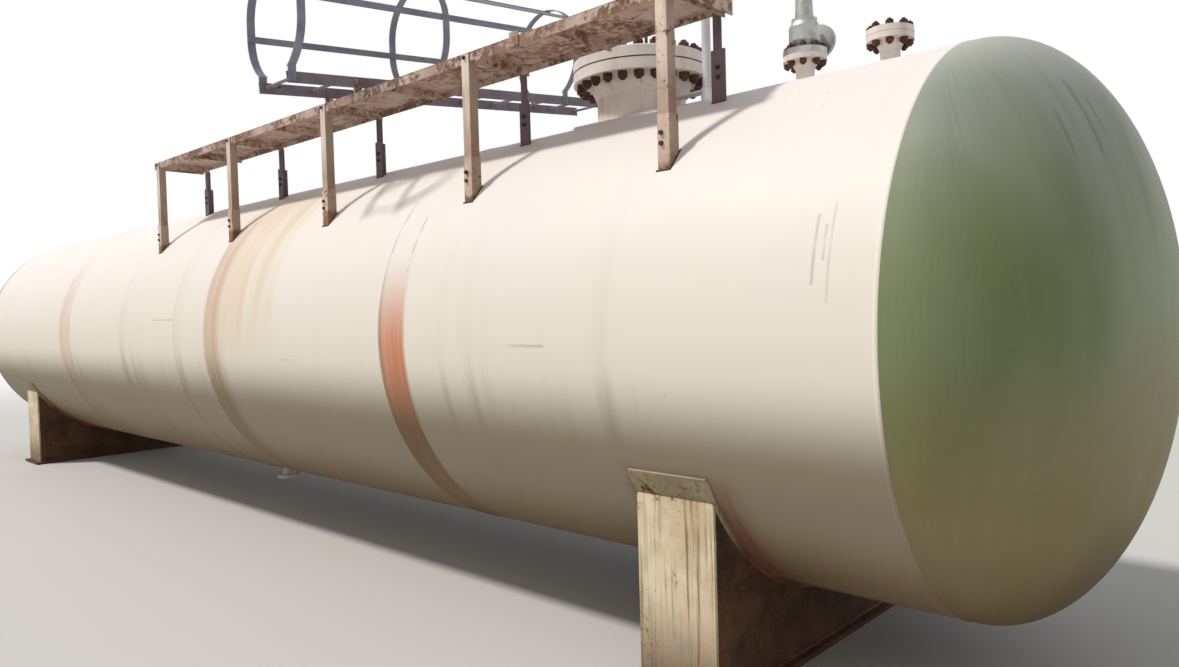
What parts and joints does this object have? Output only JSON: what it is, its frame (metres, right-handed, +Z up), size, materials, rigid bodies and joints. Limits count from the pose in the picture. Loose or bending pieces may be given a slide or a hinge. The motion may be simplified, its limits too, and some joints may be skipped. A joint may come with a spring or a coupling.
{
  "type": "horizontal pressure tank",
  "caption": "Long cylindrical pressure tank with dished ends on two saddles, a bolted manway and a narrow walkway with a caged ladder laid across it.",
  "frame": {"origin": "centre of the underside of the fixed saddle's base plate", "axes": "+X along the tank towards the head beside the fixed saddle, +Z up; the walkway is on the -Y side"},
  "size_m": [12.7, 2.7734, 3.9699],
  "materials": {
    "tank_paint": "old off-white paint, chalky, with rust runs and green algae",
    "rusted_steel": "red-brown primer gone to rust",
    "walkway_steel": "flaking cream paint over scaling rust",
    "dark_steel": "dull dark grey-brown paint",
    "valve_metal": "weathered cast metal"
  },
  "bodies": {
    "root": {"shell": "tank_paint", "front_head": "tank_paint", "rear_head": "tank_paint", "fixed_wear_plate": "tank_paint", "fixed_saddle_ribs": "tank_paint", "sliding_wear_plate": "tank_paint", "sliding_saddle_ribs": "tank_paint", "manway_pad": "tank_paint", "manway_neck": "tank_paint", "manway_cover": "tank_paint", "davit_socket": "tank_paint", "davit_arm": "tank_paint", "relief_nozzle": "tank_paint", "vapour_nozzle": "tank_paint", "vapour_cover": "tank_paint", "bottom_outlet": "tank_paint", "fixed_saddle_webs": "rusted_steel", "fixed_base_plate": "rusted_steel", "sliding_saddle_webs": "rusted_steel", "sliding_base_plate": "rusted_steel", "walkway_frame": "walkway_steel", "walkway_deck": "walkway_steel", "walkway_kerb": "walkway_steel", "outer_post_1": "walkway_steel", "outer_post_2": "walkway_steel", "outer_post_3": "walkway_steel", "outer_post_4": "walkway_steel", "outer_post_5": "walkway_steel", "inner_post_1": "walkway_steel", "inner_post_2": "walkway_steel", "inner_post_3": "walkway_steel", "inner_post_4": "walkway_steel", "inner_post_5": "walkway_steel", "outer_post_feet": "walkway_steel", "inner_post_feet": "walkway_steel", "ladder_cleats": "walkway_steel", "ladder_left_stringer": "dark_steel", "ladder_right_stringer": "dark_steel", "ladder_rungs": "dark_steel", "cage_hoop_1": "dark_steel", "cage_hoop_2": "dark_steel", "cage_hoop_3": "dark_steel", "cage_straps": "dark_steel", "relief_valve": "valve_metal"}
  },
  "joints": []
}
